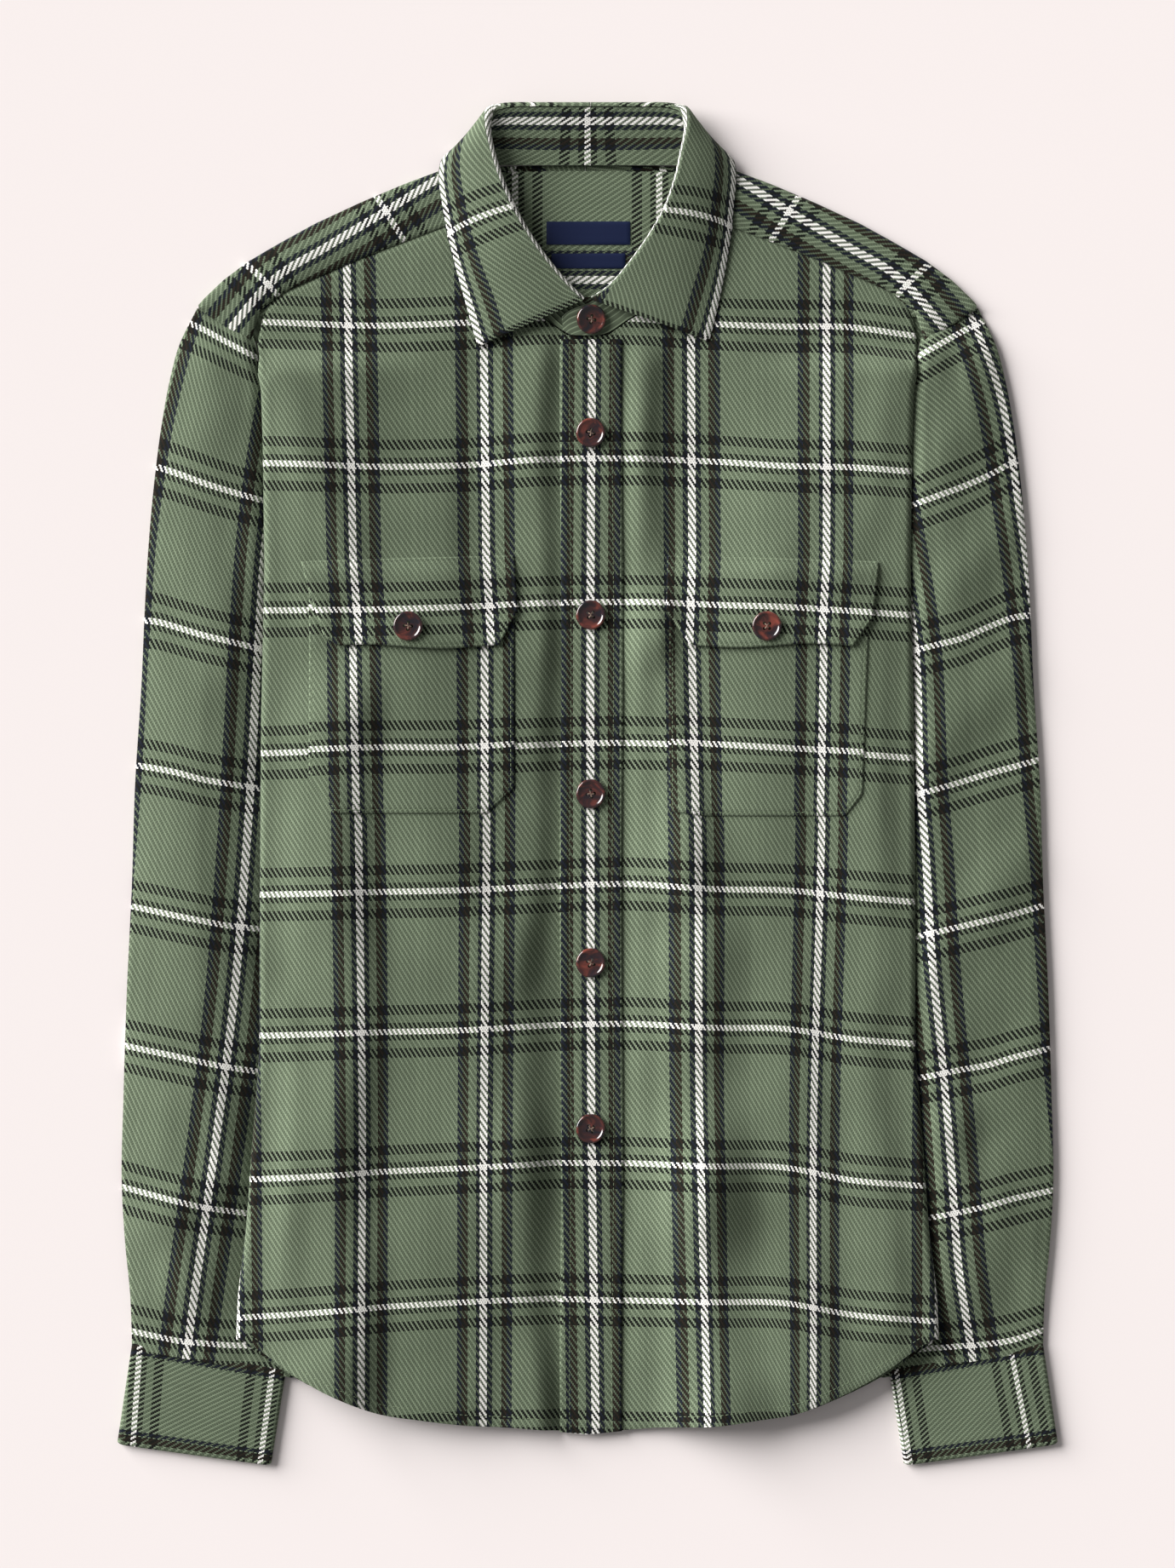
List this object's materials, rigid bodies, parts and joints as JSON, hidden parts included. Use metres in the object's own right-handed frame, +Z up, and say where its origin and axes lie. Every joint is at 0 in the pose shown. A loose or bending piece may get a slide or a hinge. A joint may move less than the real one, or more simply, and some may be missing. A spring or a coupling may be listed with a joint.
{
  "type": "flannel shirt",
  "caption": "Long-sleeved flannel overshirt with a checked twill weave, laid flat on its back and buttoned up, with a turned-down collar and flapped chest pockets.",
  "frame": {"origin": "on the underside of the back panel, near the middle of the shirt, on the surface that it lies on", "axes": "+X to the right as seen from above, +Y towards the collar, +Z up, away from the surface"},
  "size_m": [0.574, 0.8328, 0.0187],
  "materials": {
    "flannel": "brushed cotton twill, checked",
    "button": "polished, marbled",
    "label": "woven, plain"
  },
  "bodies": {
    "root": {"back": "flannel", "yoke": "flannel", "yoke_inside": "flannel", "front_left": "flannel", "front_right": "flannel", "placket": "flannel", "sleeve_left": "flannel", "cuff_left": "flannel", "sleeve_right": "flannel", "cuff_right": "flannel", "pocket_left": "flannel", "flap_left": "flannel", "button_pocket_left": "button", "pocket_right": "flannel", "flap_right": "flannel", "button_pocket_right": "button", "button_front_1": "button", "button_front_2": "button", "button_front_3": "button", "button_front_4": "button", "button_front_5": "button", "collar_stand": "flannel", "collar_leaf": "flannel", "button_collar": "button", "label_main": "label", "label_size": "label"}
  },
  "joints": []
}
